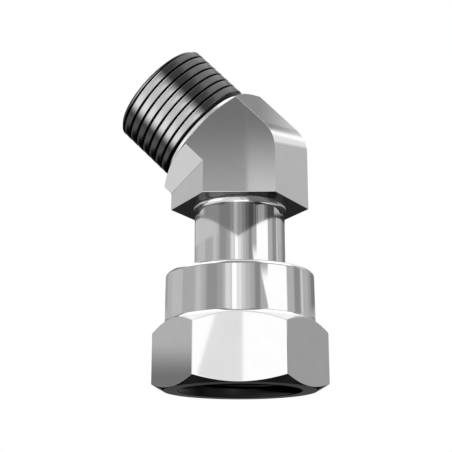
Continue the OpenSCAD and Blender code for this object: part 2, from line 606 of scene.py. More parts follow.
@dataclass(frozen=True)
class PlatedSteel:
    """Bright zinc plate over machined steel.

    Attributes:
        name: Name of the material.
        colour: Grey of the metal.
        roughness: Blur of its reflections.
        grain: Which way the tool marks run.
        centre: A point on the axis that the marks follow, in millimetres.
        lean: Lean of that axis from +Z towards -X, in radians.
        mark_size: Width of one tool mark, in millimetres.
        mark_depth: Strength of the tool marks.
        mottle: How far the plate's clouds change the roughness.
        under: Part of the grey and of the edge tint that is left on faces that look
        down, as painted shade on the undersides.
        zones: Parts with another grey, each over the ones before.
    """

    name: str
    colour: float = 0.78
    roughness: float = 0.03
    grain: Grain = Grain.TURNED
    centre: tuple[float, float, float] = (0, 0, 0)
    lean: float = 0.0
    mark_size: float = 0.09
    mark_depth: float = 0.006
    mottle: float = 0.008
    under: float = 0.35
    zones: tuple[Zone, ...] = ()

    def build(self) -> bpy.types.Material:
        """Makes the material.

        The tool marks are a fine noise. Turned marks read only the radius and
        the height on their axis, so they run as rings.

        Returns:
            The material.
        """
        material = bpy.data.materials.new(self.name)
        sheet = NodeSheet(material)
        where = sheet.add("ShaderNodeTexCoord")
        inputs = {
            "Vector": where.outputs["Object"],
            "Location": Vector(self.centre) * MM,
            "Rotation": (0, -self.lean, 0),
        }
        place = sheet.add("ShaderNodeMapping", inputs, vector_type="TEXTURE").outputs[0]
        aside, side, height = sheet.add("ShaderNodeSeparateXYZ", {0: place}).outputs
        across = sheet.add("ShaderNodeCombineXYZ", {0: aside, 1: side}).outputs[0]
        radius = sheet.add("ShaderNodeVectorMath", {0: across}, operation="LENGTH").outputs["Value"]
        if self.grain is Grain.TURNED:
            place = sheet.add("ShaderNodeCombineXYZ", {0: radius, 2: height}).outputs[0]
        marks = sheet.noise(place, 1 / (self.mark_size * MM), 3.0)
        clouds = sheet.noise(where.outputs["Object"], CLOUD_SCALE, 2.0)
        low, high = self.roughness - self.mottle, self.roughness + self.mottle
        roughness = sheet.ramp(clouds, *CLOUD_SPAN, (max(low, 0.01), high))
        tone = sheet.ramp(clouds, *CLOUD_SPAN, (self.colour * 0.98, self.colour))
        for zone in self.zones:
            cover = zone.cover(sheet, radius, height)
            tone = sheet.mix(cover, tone, zone.shade(sheet, aside))
            roughness = sheet.mix(cover, roughness, zone.roughness)
        # Painted shade: faces that look down lose part of their grey and of their edge tint.
        facing = sheet.add("ShaderNodeSeparateXYZ", {0: where.outputs["Normal"]}).outputs[2]
        shade = sheet.ramp(facing, *LOOKS_DOWN, (self.under, 1))
        inputs = {"Height": marks, "Strength": self.mark_depth, "Distance": MARK_HEIGHT * MM}
        bump = sheet.add("ShaderNodeBump", inputs)
        inputs = {
            "Base Color": sheet.grey(sheet.math("MULTIPLY", tone, shade)),
            "Metallic": 1.0,
            "Roughness": roughness,
            "Specular Tint": sheet.grey(shade),
            "Normal": bump.outputs[0],
        }
        sheet.output("ShaderNodeOutputMaterial", sheet.add("ShaderNodeBsdfPrincipled", inputs))
        return material


@dataclass(frozen=True)
class Rubber:
    """Black moulded rubber with a faint bloom.

    Attributes:
        name: Name of the material.
        colour: Grey of the rubber.
        roughness: Blur of its sheen.
        relief: Strength of its fine relief.
    """

    name: str
    colour: float = 0.02
    roughness: float = 0.55
    relief: float = 0.2

    def build(self) -> bpy.types.Material:
        """Makes the material.

        Returns:
            The material.
        """
        material = bpy.data.materials.new(self.name)
        sheet = NodeSheet(material)
        where = sheet.add("ShaderNodeTexCoord")
        bloom = sheet.noise(where.outputs["Object"], BLOOM_SCALE, 4.0)
        tone = sheet.ramp(bloom, *CLOUD_SPAN, (self.colour * 0.8, self.colour * 1.4))
        inputs = {"Height": bloom, "Strength": self.relief, "Distance": BLOOM_HEIGHT * MM}
        bump = sheet.add("ShaderNodeBump", inputs)
        inputs = {
            "Base Color": sheet.grey(tone), "Roughness": self.roughness, "Normal": bump.outputs[0]
        }
        sheet.output("ShaderNodeOutputMaterial", sheet.add("ShaderNodeBsdfPrincipled", inputs))
        return material


# Sizes that pieces share


@dataclass(frozen=True)
class Seats:
    """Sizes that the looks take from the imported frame, in millimetres.

    Attributes:
        nut_top: Height of the collar's top.
        nut_flats: Across the nut's flats.
        body_base: Height of the body's underside.
        body_flats: Across the body's flats.
        neck_r: Radius of the tail's neck.
        bore_r: Radius of the passage.
        thread_r: Major radius of the male thread.
        lean: Lean of the male end from +Z towards -X, in radians.
        crossing: Height at which the two axes cross.
    """

    nut_top: float
    nut_flats: float
    body_base: float
    body_flats: float
    neck_r: float
    bore_r: float
    thread_r: float
    lean: float
    crossing: float

    @classmethod
    def from_frame(cls, record: dict) -> "Seats":
        """Reads the sizes from the frame's boxes and mounts.

        Args:
            record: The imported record.

        Returns:
            The seats.
        """
        mounts = {mount["name"]: mount for mount in record["mounts"]}
        male = mounts["male_thread"]
        nut_low, nut_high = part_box("swivel_nut")
        body_low, body_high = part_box("elbow_body")
        tail_low, tail_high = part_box("swivel_tail")
        axis_x, _, axis_z = male["axis"]
        x, _, z = male["pos_m"]
        return cls(
            nut_top=nut_high.z / MM,
            nut_flats=(nut_high.y - nut_low.y) / MM,
            body_base=body_low.z / MM,
            body_flats=(body_high.y - body_low.y) / MM,
            neck_r=(tail_high.x - tail_low.x) / 2 / MM,
            bore_r=mounts["tail_bore"]["dims"]["r_mm"],
            thread_r=male["dims"]["r_mm"],
            lean=math.atan2(-axis_x, axis_z),
            crossing=(z - x / axis_x * axis_z) / MM,
        )


@dataclass(frozen=True)
class WireSeat:
    """The round groove, half in the tail and half in the nut, that the wire fills.

    Attributes:
        height: Height of its middle.
        ring_r: Radius of the ring that it follows.
        groove_r: Radius of its section.
        azimuth: Direction from which the wire goes in.
    """

    height: float = 13.5
    ring_r: float = 6.69
    groove_r: float = 1.05
    azimuth: float = math.radians(150)


def dress(
    piece: bpy.types.Object, finish: PlatedSteel | Rubber, body: str, node: str
) -> bpy.types.Object:
    """Gives a piece its finish, its body and the CAD node that it stands for.

    Args:
        piece: The finished piece.
        finish: Its finish.
        body: CAD body that it moves with.
        node: CAD node that it replaces.

    Returns:
        The piece.
    """
    piece.data.materials.append(finish.build())
    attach(piece, body)
    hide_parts(node)
    LOG.info("%s: %d faces, for %s", piece.name, len(piece.data.polygons), node)
    return piece


# Pieces

SHARP_ANGLE = math.radians(35)
DRILL_FACES = 48
WIRE_FACES = 40
RUN_STEPS = 11
BEND_STEPS = 159
BREAK_STEPS = 5
HOLLOW_STEPS = 12
RUBBER_FACES = 40


class Corner(IntEnum):
    """Places, in the body's closed paths, of the corners that need a name."""

    MITRE = 2
    LAND = 4
    RELIEF_START = 5
    RELIEF_END = 6
    THREAD_START = 7
    BORE_MITRE = 12


@dataclass
class ElbowBody:
    """The mitred hexagon body with its male end, machined in one piece.

    Attributes:
        seats: Sizes from the frame.
        corner_r: Radius of the hexagon's corners.
        hex_reach: Crossing to the hexagon's end face, along the male end.
        land_r: Radius at which the end face runs out into its chamfer.
        land_break: Radius of the edge there.
        end_slope: Slope of that chamfer.
        bend_r: Radius of the rounded bend, square to its edge.
        inner_r: Radius of the mitre on the inner side of the bend.
        male_length: End face to the tip.
        relief_r: Radius of the relief groove's floor.
        relief_w: Width of that floor.
        relief_corner: Radius of the groove's corners.
        relief_slope: Slope of the groove's side where the thread starts.
        tip_chamfer: Chamfer at the tip.
        seat_r: Mouth of the coned seat.
        seat_half: Half the seat's angle.
        socket_r: Radius of the tail's socket.
        socket_depth: Depth of the socket.
        thread: Form of the thread.
    """

    seats: Seats
    corner_r: float = 0.05
    hex_reach: float = 6.42
    land_r: float = 8.7
    land_break: float = 0.03
    end_slope: float = math.radians(25)
    bend_r: float = 6.0
    inner_r: float = 0.15
    male_length: float = 10.78
    relief_r: float = 7.75
    relief_w: float = 0.7
    relief_corner: float = 0.15
    relief_slope: float = math.radians(60)
    tip_chamfer: float = 0.5
    seat_r: float = 6.5
    seat_half: float = math.radians(30)
    socket_r: float = 5.53
    socket_depth: float = 4.63
    thread: Thread = Thread(0.36, flank=math.radians(13), root=0.085, crown=0.015, phase=0.5)

    @property
    def tip(self) -> float:
        """Distance from the crossing to the tip."""
        return self.hex_reach + self.male_length

    @property
    def relief_end(self) -> float:
        """Distance from the crossing to the end of the relief's floor."""
        return self.hex_reach + self.relief_w

    def placed(self, points: Array) -> Array:
        """Points of an upright male end, brought to its leaning place.

        With t the lean, x goes to x cos t - z sin t and z goes to crossing +
        x sin t + z cos t, so +X comes to the outer side of the bend.

        Args:
            points: Points of the upright end, with the crossing at the origin.

        Returns:
            The points in the row frame.
        """
        sin, cos = math.sin(self.seats.lean), math.cos(self.seats.lean)
        x, y, z = np.moveaxis(points, -1, 0)
        return np.stack([x * cos - z * sin, y, self.seats.crossing + x * sin + z * cos], -1)

    def upright(self, points: Array) -> Array:
        """Points of the row frame, brought back to the upright male end.

        Args:
            points: Points in the row frame.

        Returns:
            The points of the upright end.
        """
        sin, cos = math.sin(self.seats.lean), math.cos(self.seats.lean)
        x, y, z = np.moveaxis(points, -1, 0)
        z = z - self.seats.crossing
        return np.stack([x * cos + z * sin, y, z * cos - x * sin], -1)

    def corners(self, hexagon: Array, angles: Array) -> tuple[Array, Array]:
        """Corner points and rounds of the closed paths, one for each column.

        A path goes out over the underside, up the lower leg, round the bend at
        the mitre, over the end face, the relief and the thread to the tip, and
        back through the seat and the passage to the socket.

        Args:
            hexagon: Radius of the hexagon at each column.
            angles: Angles of the columns.

        Returns:
            The corners and their rounds.
        """
        s = self.seats
        half_bend = math.tan(s.lean / 2)
        thread_start = self.relief_end + (s.thread_r - self.relief_r) / math.tan(self.relief_slope)
        seat_end = self.tip - (self.seat_r - s.bore_r) / math.tan(self.seat_half)
        hex_end = self.hex_reach - (hexagon - self.land_r) * math.tan(self.end_slope)
        socket_top = s.body_base + self.socket_depth
        n, bore_n = hexagon * np.cos(angles), s.bore_r * np.cos(angles)
        below = [
            (self.socket_r, s.body_base),
            (hexagon, s.body_base),
            (hexagon, s.crossing + n * half_bend),
        ]
        male = [
            (hexagon, hex_end),
            (self.land_r, self.hex_reach),
            (self.relief_r, self.hex_reach),
            (self.relief_r, self.relief_end),
            (s.thread_r, thread_start),
            (s.thread_r, self.tip - self.tip_chamfer),
            (s.thread_r - self.tip_chamfer, self.tip),
            (self.seat_r, self.tip),
            (s.bore_r, seat_end),
        ]
        inside = [
            (s.bore_r, s.crossing + bore_n * half_bend),
            (s.bore_r, socket_top),
            (self.socket_r, socket_top),
        ]
        corners = np.concatenate(
            [turned(below, angles), self.placed(turned(male, angles)), turned(inside, angles)]
        )
        rounds = np.full(corners.shape[:2], EDGE_BREAK)
        outer_r = self.bend_r * math.cos(math.pi / 6)
        half_flat = s.body_flats / 2 * math.tan(math.pi / 6)
        share = np.clip((n + half_flat) / (2 * half_flat), 0, 1)
        rounds[Corner.MITRE] = self.inner_r + (outer_r - self.inner_r) * share
        rounds[Corner.LAND] = self.land_break
        rounds[[Corner.RELIEF_START, Corner.RELIEF_END]] = self.relief_corner
        rounds[Corner.BORE_MITRE] = np.maximum(bore_n, self.inner_r)
        return corners, rounds

    def cut_thread(self, rows: Array, thread: Thread, angles: Array, first: int) -> Array:
        """Sinks the groove into the male end, its start and its chamfer alike.

        Args:
            rows: All rows of the body.
            thread: The thread.
            angles: Angles of the columns.
            first: First row that the groove may reach.

        Returns:
            The rows with the groove.
        """
        upright = self.upright(rows)
        radius = np.hypot(upright[..., 0], upright[..., 1])
        reached = np.arange(len(rows))[:, None] >= first
        reached = reached & (radius > thread.crest - thread.depth - TOUCH)
        reached &= upright[..., 2] < self.tip - TOUCH
        moved = self.placed(thread.sink(upright, angles, reached))
        return np.where(reached[..., None], moved, rows)

    def zones(self) -> tuple[Zone, ...]:
        """The rough run-out, painted near white as a highlight, the bare thread, painted dark as
        shade except on one lit side, and its grooves, painted nearly black as shade.

        Returns:
            The zones of the body's finish.
        """
        start, end = self.relief_end, self.tip + 1
        crest = self.seats.thread_r
        inner, outer = 0.8 * crest, 2 * crest
        depth = self.thread.depth
        return (
            # Painted highlight: the run-out's grey is raised near white.
            Zone(self.hex_reach + 0.03, start, inner, outer, grey=0.97, roughness=0.35),
            # Painted shade: the bare thread darkens away from its lit side.
            Zone(start, end, inner, outer, grey=0.7, roughness=0.27, lit_side=(-2.85, 2.15)),
            # Painted shade: the thread's grooves are nearly black.
            Zone(start, end, inner, crest - 0.45 * depth, grey=0.01, roughness=0.3, soft=0.6 * depth),
        )

    def build(self) -> bpy.types.Object:
        """Makes the body as one closed surface and dresses it.

        Returns:
            The piece.
        """
        s = self.seats
        section = Hexagon(s.body_flats, corner=self.corner_r)
        angles = section.angles()
        corners, rounds = self.corners(section.radius(angles), angles)
        rows = soften(corners, rounds)
        per_corner = len(rows) // len(corners)
        first = Corner.THREAD_START * per_corner
        split = first + per_corner
        start = self.upright(rows[split - 1])[..., 2].max()
        end = self.upright(rows[split])[..., 2].min()
        thread = replace(self.thread, crest=s.thread_r, start=start, end=end)
        screw = self.placed(ring(s.thread_r, thread.heights(angles), angles))
        rows = np.concatenate([rows[:split], screw, rows[split:]])
        piece = closed_mesh("elbow_body_plated", self.cut_thread(rows, thread, angles, first))
        centre = (0, 0, s.crossing)
        finish = PlatedSteel(
            "body_plate", grain=Grain.MOULDED, centre=centre, lean=s.lean, zones=self.zones()
        )
        return dress(piece, finish, "fitting", "elbow_body")


@dataclass
class SwivelTail:
    """The turned tail: coned nose, neck with its wire groove, and spigot.

    Attributes:
        seats: Sizes from the frame.
        wire: The wire's groove.
        nose_depth: Nut's face to the nose's tip.
        nose_tip_r: Radius of the nose's flat tip.
        nose_half: Half the nose's angle.
        spigot_r: Radius of the spigot.
        spigot_length: Length of the spigot.
        spigot_break: Chamfer at its end.
        ring_seat_r: Radius of the cone at the rubber ring's groove.
        ring_depth: Depth of that groove.
        ring_half: Half the width of that groove.
        faces: Faces round the axis.
        finish: Its finish.
    """

    seats: Seats
    wire: WireSeat = WireSeat()
    nose_depth: float = 4.5
    nose_tip_r: float = 4.65
    nose_half: float = math.radians(30)
    spigot_r: float = 5.5
    spigot_length: float = 4.6
    spigot_break: float = 0.3
    ring_seat_r: float = 5.75
    ring_depth: float = 1.15
    ring_half: float = 0.87
    faces: int = 192
    finish: PlatedSteel = PlatedSteel("tail_plate", roughness=0.025, mark_depth=0.0, mottle=0.0)

    def build(self) -> bpy.types.Object:
        """Makes the tail as one turned surface and dresses it.

        Returns:
            The piece.
        """
        s, wire = self.seats, self.wire
        slope = math.tan(self.nose_half)
        out = np.array([math.cos(self.nose_half), -math.sin(self.nose_half)])
        along = np.array([math.sin(self.nose_half), math.cos(self.nose_half)])
        seat_z = self.nose_depth + (self.ring_seat_r - self.nose_tip_r) / slope
        seat = np.array([self.ring_seat_r, seat_z])
        low, high = seat - along * self.ring_half, seat + along * self.ring_half
        groove_in = wire.ring_r - wire.groove_r
        groove_low, groove_high = wire.height - wire.groove_r, wire.height + wire.groove_r
        top = s.body_base + self.spigot_length
        profile = [
            (s.bore_r, self.nose_depth),
            (self.nose_tip_r, self.nose_depth),
            low,
            low - out * self.ring_depth,
            high - out * self.ring_depth,
            high,
            (s.neck_r, self.nose_depth + (s.neck_r - self.nose_tip_r) / slope),
            (s.neck_r, groove_low),
            (groove_in, groove_low),
            (groove_in, groove_high),
            (s.neck_r, groove_high),
            (s.neck_r, s.body_base),
            (self.spigot_r, s.body_base),
            (self.spigot_r, top - self.spigot_break),
            (self.spigot_r - self.spigot_break, top),
            (s.bore_r, top),
        ]
        corners = turned(profile, columns(self.faces))
        rounds = np.full(corners.shape[:2], EDGE_BREAK)
        # The floor of the wire's groove is round.
        rounds[8:10] = wire.groove_r
        piece = closed_mesh("swivel_tail_plated", soften(corners, rounds))
        return dress(piece, self.finish, "fitting", "swivel_tail")


@dataclass
class BrazeRing:
    """The fillet of filler metal in the corner between neck and body.

    Attributes:
        seats: Sizes from the frame.
        foot: Width of the fillet on the body's underside.
        leg: Height of the fillet on the neck.
        wave: How far its edges wander, as flowed metal does.
        feather: Thickness at both edges.
        faces: Faces round the axis.
        finish: Its finish.
    """

    seats: Seats
    foot: float = 0.35
    leg: float = 0.8
    wave: float = 0.04
    feather: float = 0.01
    faces: int = 192
    # Painted shade: the fillet's faces that look down keep 0.3 of their grey and edge tint.
    finish: PlatedSteel = PlatedSteel(
        "filler_plate", colour=0.9, roughness=0.1, mark_depth=0.0, grain=Grain.MOULDED, under=0.3
    )

    def build(self) -> bpy.types.Object:
        """Makes the fillet as one ring with a hollow face and dresses it.

        At angle a both widths are less by wave x (1 - (sin 3a + sin 7a) / 2), and
        the hollow face is a quarter of an ellipse between its feathered edges.

        Returns:
            The piece.
        """
        neck_r, base = self.seats.neck_r, self.seats.body_base
        angles = columns(self.faces)
        less = self.wave * (1 - (np.sin(3 * angles) + np.sin(7 * angles)) / 2)
        foot, leg = self.foot - less, self.leg - less
        turn = np.linspace(0, math.pi / 2, HOLLOW_STEPS + 1)
        turn = np.concatenate([[0, 0.02], turn[1:-1], [1.55, math.pi / 2]])[:, None]
        out = (foot - self.feather) * (1 - np.cos(turn))
        down = (leg - self.feather) * (1 - np.sin(turn))
        hollow = ring(neck_r + self.feather + out, base - self.feather - down, angles)
        back = turned([(neck_r + foot, base), (neck_r, base), (neck_r, base - leg)], angles)
        piece = closed_mesh("braze_ring_plated", np.concatenate([hollow, back]))
        return dress(piece, self.finish, "fitting", "braze_ring")


@dataclass
class NoseRing:
    """The rubber ring in the groove of the coned nose.

    Attributes:
        section_r: Radius of the rubber.
        flash: Height of the line that its mould leaves.
        flash_width: Width of that line, as a part of the radius.
        faces: Faces round the axis.
        finish: Its finish.
    """

    section_r: float = 0.75
    flash: float = 0.02
    flash_width: float = 0.08
    faces: int = 128
    finish: Rubber = Rubber("nose_rubber")

    def build(self) -> bpy.types.Object:
        """Makes the ring in the middle of its CAD node's box and dresses it.

        The section is a circle that stands out by a bell, flash x
        exp(-(sin a / width)^2), at its outermost and innermost points.

        Returns:
            The piece.
        """
        low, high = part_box("nose_ring")
        ring_r = (high.x - low.x) / 2 / MM - self.section_r
        turn = columns(RUBBER_FACES)[:-1, None]
        bell = self.flash * np.exp(-((np.sin(turn) / self.flash_width) ** 2))
        radius = self.section_r - self.flash + bell
        height = (low.z + high.z) / 2 / MM + radius * np.sin(turn)
        grid = ring(ring_r + radius * np.cos(turn), height, columns(self.faces))
        piece = closed_mesh("nose_ring_rubber", grid)
        return dress(piece, self.finish, "fitting", "nose_ring")


@dataclass
class SwivelNut:
    """The union nut: chamfered hexagon, round collar, thread and wire groove.

    Attributes:
        seats: Sizes from the frame.
        wire: The wire's groove.
        hex_h: Height of the hexagon.
        chamfer_r: Radius at which both chamfers start.
        face_slope: Slope of the chamfer at the open face.
        top_slope: Slope of the chamfer below the collar.
        collar_r: Radius of the collar at its top.
        foot_r: Radius of the collar at its foot.
        rim_r: Radius of the collar's top edge.
        root_r: Radius in the corner at the collar's foot.
        mouth_r: Mouth of the countersink.
        core_r: Radius of the thread's crests.
        thread: Form of the thread.
        thread_low: Height at which the grooves begin.
        thread_top: Height at which the thread ends.
        relief_r: Radius of the relief above the thread.
        relief_w: Width of that relief.
        gap: Running clearance on the neck.
        hole_edge: Distance from the wire hole's wall within which edges are sharp.
        finish: Its finish.
    """

    seats: Seats
    wire: WireSeat = WireSeat()
    hex_h: float = 9.5
    chamfer_r: float = 10.96
    face_slope: float = math.radians(30)
    top_slope: float = math.radians(36)
    collar_r: float = 10.79
    foot_r: float = 10.87
    rim_r: float = 0.5
    root_r: float = 0.6
    mouth_r: float = 8.8
    core_r: float = 7.475
    thread: Thread = Thread(-0.8)
    thread_low: float = 0.01
    thread_top: float = 7.6
    relief_r: float = 8.6
    relief_w: float = 1.5
    gap: float = 0.08
    hole_edge: float = 0.02
    # Painted shade: the nut's faces that look down keep little of their grey, and its mouth and the
    # thread inside are nearly black.
    finish: PlatedSteel = PlatedSteel(
        "nut_plate",
        roughness=0.025,
        mottle=0.005,
        under=0.12,
        zones=(Zone(-1, 9.3, 0, 8.9, grey=0.06, roughness=0.3),),
    )

    def build(self) -> bpy.types.Object:
        """Makes the nut, drills the wire's hole and dresses it.

        Returns:
            The piece.
        """
        s, wire = self.seats, self.wire
        section = Hexagon(s.nut_flats)
        angles = section.angles()
        hexagon = section.radius(angles)
        rise = hexagon - self.chamfer_r
        bore = s.neck_r + self.gap
        relief_top = self.thread_top + self.relief_w
        groove_out = wire.ring_r + wire.groove_r
        groove_low, groove_high = wire.height - wire.groove_r, wire.height + wire.groove_r
        profile = [
            (self.mouth_r, 0.0),
            (self.chamfer_r, 0.0),
            (hexagon, rise * math.tan(self.face_slope)),
            (hexagon, self.hex_h - rise * math.tan(self.top_slope)),
            (self.foot_r, self.hex_h),
            (self.collar_r, s.nut_top),
            (bore, s.nut_top),
            (bore, groove_high),
            (groove_out, groove_high),
            (groove_out, groove_low),
            (bore, groove_low),
            (bore, relief_top),
            (self.relief_r, relief_top),
            (self.relief_r, self.thread_top),
            (self.core_r, self.thread_top),
            (self.core_r, self.mouth_r - self.core_r),
        ]
        corners = turned(profile, angles)
        rounds = np.full(corners.shape[:2], EDGE_BREAK)
        # The collar's foot, its top edge, and the floor of the wire's groove.
        rounds[4] = self.root_r
        rounds[5] = self.rim_r
        rounds[8:10] = wire.groove_r
        rows = soften(corners, rounds)
        split = len(rows) - len(rows) // len(corners)
        start, end = rows[split, 0, 2], rows[split - 1, 0, 2]
        thread = replace(self.thread, crest=self.core_r, start=start, end=end)
        screw = ring(self.core_r, thread.heights(angles)[::-1], angles)
        rows = np.concatenate([rows[:split], screw, rows[split:]])
        radius, height = np.hypot(rows[..., 0], rows[..., 1]), rows[..., 2]
        inside = (radius < self.mouth_r - EDGE_BREAK) & (radius > self.core_r - TOUCH)
        inside &= (height < self.thread_top - TOUCH) & (height > self.thread_low)
        piece = closed_mesh("swivel_nut_plated", thread.sink(rows, angles, inside))
        self.drill(piece)
        return dress(piece, self.finish, "nut", "swivel_nut")

    def drill(self, piece: bpy.types.Object) -> None:
        """Drills the hole through which the wire goes into its groove.

        Args:
            piece: The nut without its hole.
        """
        wire = self.wire
        length = self.collar_r + 1
        profile = [(0, 0), (wire.groove_r, 0), (wire.groove_r, length), (0, length)]
        tool = closed_mesh("wire_drill", turned(profile, columns(DRILL_FACES)), loop=False)
        place = Euler((math.pi / 2, 0, wire.azimuth)).to_matrix().to_4x4()
        x, y = wire.ring_r * math.cos(wire.azimuth), wire.ring_r * math.sin(wire.azimuth)
        place.translation = Vector((x, y, wire.height)) * MM
        tool.data.transform(place)
        cut = piece.modifiers.new("wire_hole", "BOOLEAN")
        cut.operation = "DIFFERENCE"
        cut.solver = "EXACT"
        cut.object = tool
        graph = bpy.context.evaluated_depsgraph_get()
        drilled = bpy.data.meshes.new_from_object(piece.evaluated_get(graph))
        piece.modifiers.clear()
        piece.data = drilled
        bpy.data.objects.remove(tool)
        axis = place.to_3x3() @ Vector((0, 0, 1))
        self.sharpen(drilled, np.array(place.translation), np.array(axis))

    def sharpen(self, mesh: bpy.types.Mesh, start: Array, axis: Array) -> None:
        """Marks the hole's own edges as sharp, so that it doesn't bend the shading.

        Args:
            mesh: The drilled nut.
            start: A point on the hole's axis, in metres.
            axis: Direction of that axis.
        """
        mesh.set_sharp_from_angle(angle=SHARP_ANGLE)
        points = np.empty(3 * len(mesh.vertices))
        ends = np.empty(2 * len(mesh.edges), dtype=np.int32)
        sharp = np.empty(len(mesh.edges), dtype=bool)
        mesh.vertices.foreach_get("co", points)
        mesh.edges.foreach_get("vertices", ends)
        mesh.edges.foreach_get("use_edge_sharp", sharp)
        away = np.linalg.norm(np.cross(points.reshape(-1, 3) - start, axis), axis=1)
        near = np.abs(away / MM - self.wire.groove_r) < self.hole_edge
        sharp &= near[ends.reshape(-1, 2)].all(axis=1)
        mesh.edges.foreach_set("use_edge_sharp", sharp)


@dataclass
class RetainingWire:
    """The wire that holds the nut, most of a turn round the neck with a straight end.

    Attributes:
        wire: The groove that it lies in.
        wire_r: Radius of the wire.
        turn: Angle that it makes round the neck.
        straight: Length of its straight end.
        end_break: Chamfer at both ends.
        finish: Its finish.
    """

    wire: WireSeat = WireSeat()
    wire_r: float = 1.0
    turn: float = math.radians(340)
    straight: float = 7.485
    end_break: float = 0.15
    finish: PlatedSteel = PlatedSteel("drawn_wire", colour=0.5, roughness=0.25, grain=Grain.MOULDED)

    def build(self) -> bpy.types.Object:
        """Carries the wire's round section along its path and dresses it.

        The path is a straight run that is tangent to the ring, and then the
        ring. Each end is a flat disc with a chamfer.

        Returns:
            The piece.
        """
        start, ring_r = self.wire.azimuth, self.wire.ring_r
        tangent = np.array([-math.sin(start), math.cos(start)])
        run = np.linspace(-self.straight, 0, RUN_STEPS + 1)[:-1, None]
        bend = start + np.linspace(0, self.turn, BEND_STEPS + 1)
        circle = ring_r * np.stack([np.cos(bend), np.sin(bend)], -1)
        centre = np.concatenate([circle[0] + run * tangent, circle])
        heading = unit(np.gradient(centre, axis=0))
        heading[: len(run)] = tangent
        outward = np.stack([heading[:, 1], -heading[:, 0]], -1)
        rounding = np.sin(np.linspace(0, math.pi / 2, BREAK_STEPS + 1))
        inset = np.append(0, self.end_break * rounding)
        end_size = self.wire_r - self.end_break + inset
        end_size[0] = 0
        first = centre[0] + inset[:, None] * heading[0]
        last = centre[-1] - inset[::-1, None] * heading[-1]
        path = np.concatenate([first, centre[1:-1], last])[:, None]
        whole = np.full(len(centre) - 2, self.wire_r)
        size = np.concatenate([end_size, whole, end_size[::-1]])[:, None]
        repeats = np.ones(len(centre), dtype=int)
        repeats[[0, -1]] = len(inset)
        sides = np.repeat(outward, repeats, axis=0)[:, None]
        around = columns(WIRE_FACES)
        xy = path + sides * (size * np.cos(around))[..., None]
        z = self.wire.height + size * np.sin(around)
        grid = np.concatenate([xy, z[..., None]], -1)
        piece = closed_mesh("retaining_wire_drawn", grid, loop=False)
        return dress(piece, self.finish, "nut", "retaining_wire")


# The studio

WHITE = (1, 1, 1, 1)


@dataclass(frozen=True)
class Panel:
    """A panel or flag of the studio, as a patch of the sky.

    Attributes:
        azimuth: Middle of the panel, in degrees from the camera's side (-Y)
            towards +X.
        width: Its width in degrees.
        low: Elevation of its lower edge in degrees.
        high: Elevation of its upper edge.
        level: How bright it looks in the plated metal.
        sides: Width of its soft left and right edges in degrees.
        foot: Width of its soft lower edge.
        head: Width of its soft upper edge.
        slant: How far it leans towards +X with each degree of elevation.
        rise: How far its edges rise with each degree towards +X.
    """

    azimuth: float
    width: float
    low: float
    high: float
    level: float
    sides: float = 1.5
    foot: float = 1.0
    head: float = 1.0
    slant: float = 0.0
    rise: float = 0.0

    def cover(self, sheet: NodeSheet, azimuth: Socket, elevation: Socket) -> Socket:
        """How much of the panel shows in each direction.

        It is the product of three smooth steps: one over the distance in
        azimuth from its middle, one at its lower and one at its upper edge.

        Args:
            sheet: The world's node tree.
            azimuth: Azimuth of the direction in degrees.
            elevation: Elevation of the direction in degrees.

        Returns:
            The cover's socket.
        """
        away = sheet.math("SUBTRACT", azimuth, self.azimuth)
        if self.slant:
            at_middle = self.slant * (self.low + self.high) / 2
            lean = sheet.math("MULTIPLY_ADD", elevation, -self.slant, at_middle)
            away = sheet.math("ADD", away, lean)
        wrapped = sheet.math("WRAP", away, 180.0, -180.0)
        if self.rise:
            elevation = sheet.math("MULTIPLY_ADD", wrapped, -self.rise, elevation)
        distance = sheet.math("ABSOLUTE", wrapped)
        half, soft = self.width / 2, self.sides / 2
        side = sheet.ramp(distance, half - soft, half + soft, (1, 0))
        upright = sheet.window(elevation, self.low, self.high, self.foot, self.head)
        return sheet.math("MULTIPLY", side, upright)


def stripes(low: float, high: float, foot: float, head: float, *each: tuple) -> tuple[Panel, ...]:
    """Upright panels side by side between the same two elevations.

    Args:
        low: Elevation of their lower edges.
        high: Elevation of their upper edges.
        foot: Width of their soft lower edges.
        head: Width of their soft upper edges.
        *each: Azimuth, width, level and soft sides of each.

    Returns:
        The panels.
    """
    return tuple(
        Panel(azimuth, width, low, high, level, sides, foot, head)
        for azimuth, width, level, sides in each
    )


GROUND = (
    Panel(-110, 140, -2, 8.3, 0.16, 20, 2, 2.2),
    Panel(-111, 16, -12, 8, 0.03, 3, 3, 3),
    Panel(-66, 58, -14, 11, 0.6, 12, 8, 1),
    Panel(133, 110, -2, 10.8, 0.32, 6, 2, 1),
    Panel(52, 52, -6, 10.8, 0.12, 6, 6, 1),
    Panel(-26, 26, -10, 11, 0.6, 4, 6, 1),
    Panel(180, 150, -100, -9, 0.2, 40, 6, 6),
    Panel(180, 56, -60, -9, 0.1, 24, 10, 6),
    Panel(0, 400, -100, -52, 0.08, 1, 1, 12),
) + stripes(
    -52, -3, 16, 6,
    (-100, 40, 0.3, 12), (-62, 44, 0.84, 8), (-20, 48, 0.58, 8), (14, 22, 0.4, 10),
    (36, 26, 0.14, 8), (60, 40, 0.14, 8), (95, 34, 0.06, 10),
) + (Panel(-113, 30, -40, -14, 0.6, 8, 6, 6),)
LOWER = stripes(
    11.2, 20, 1, 1,
    (-170, 40, 0.25, 30), (-112, 30, 0.48, 4), (-85, 24, 0.39, 3), (-65, 10, 0.51, 6),
    (-42, 20, 0.28, 8), (-29, 6, 0.34, 4), (-17, 9, 0.68, 5), (-7.5, 8, 1.0, 2.5),
    (0, 8, 0.76, 4), (7, 6, 0.6, 4), (13, 8, 0.46, 5), (19, 6, 0.38, 4),
    (27, 9, 0.24, 5), (37, 8, 0.4, 5), (60.5, 34, 1.0, 2), (82, 12, 0.42, 3),
    (98, 14, 0.25, 6), (109.5, 5, 0.58, 3), (121, 16, 0.41, 6), (133, 10, 0.33, 6),
    (160, 44, 0.18, 16),
)
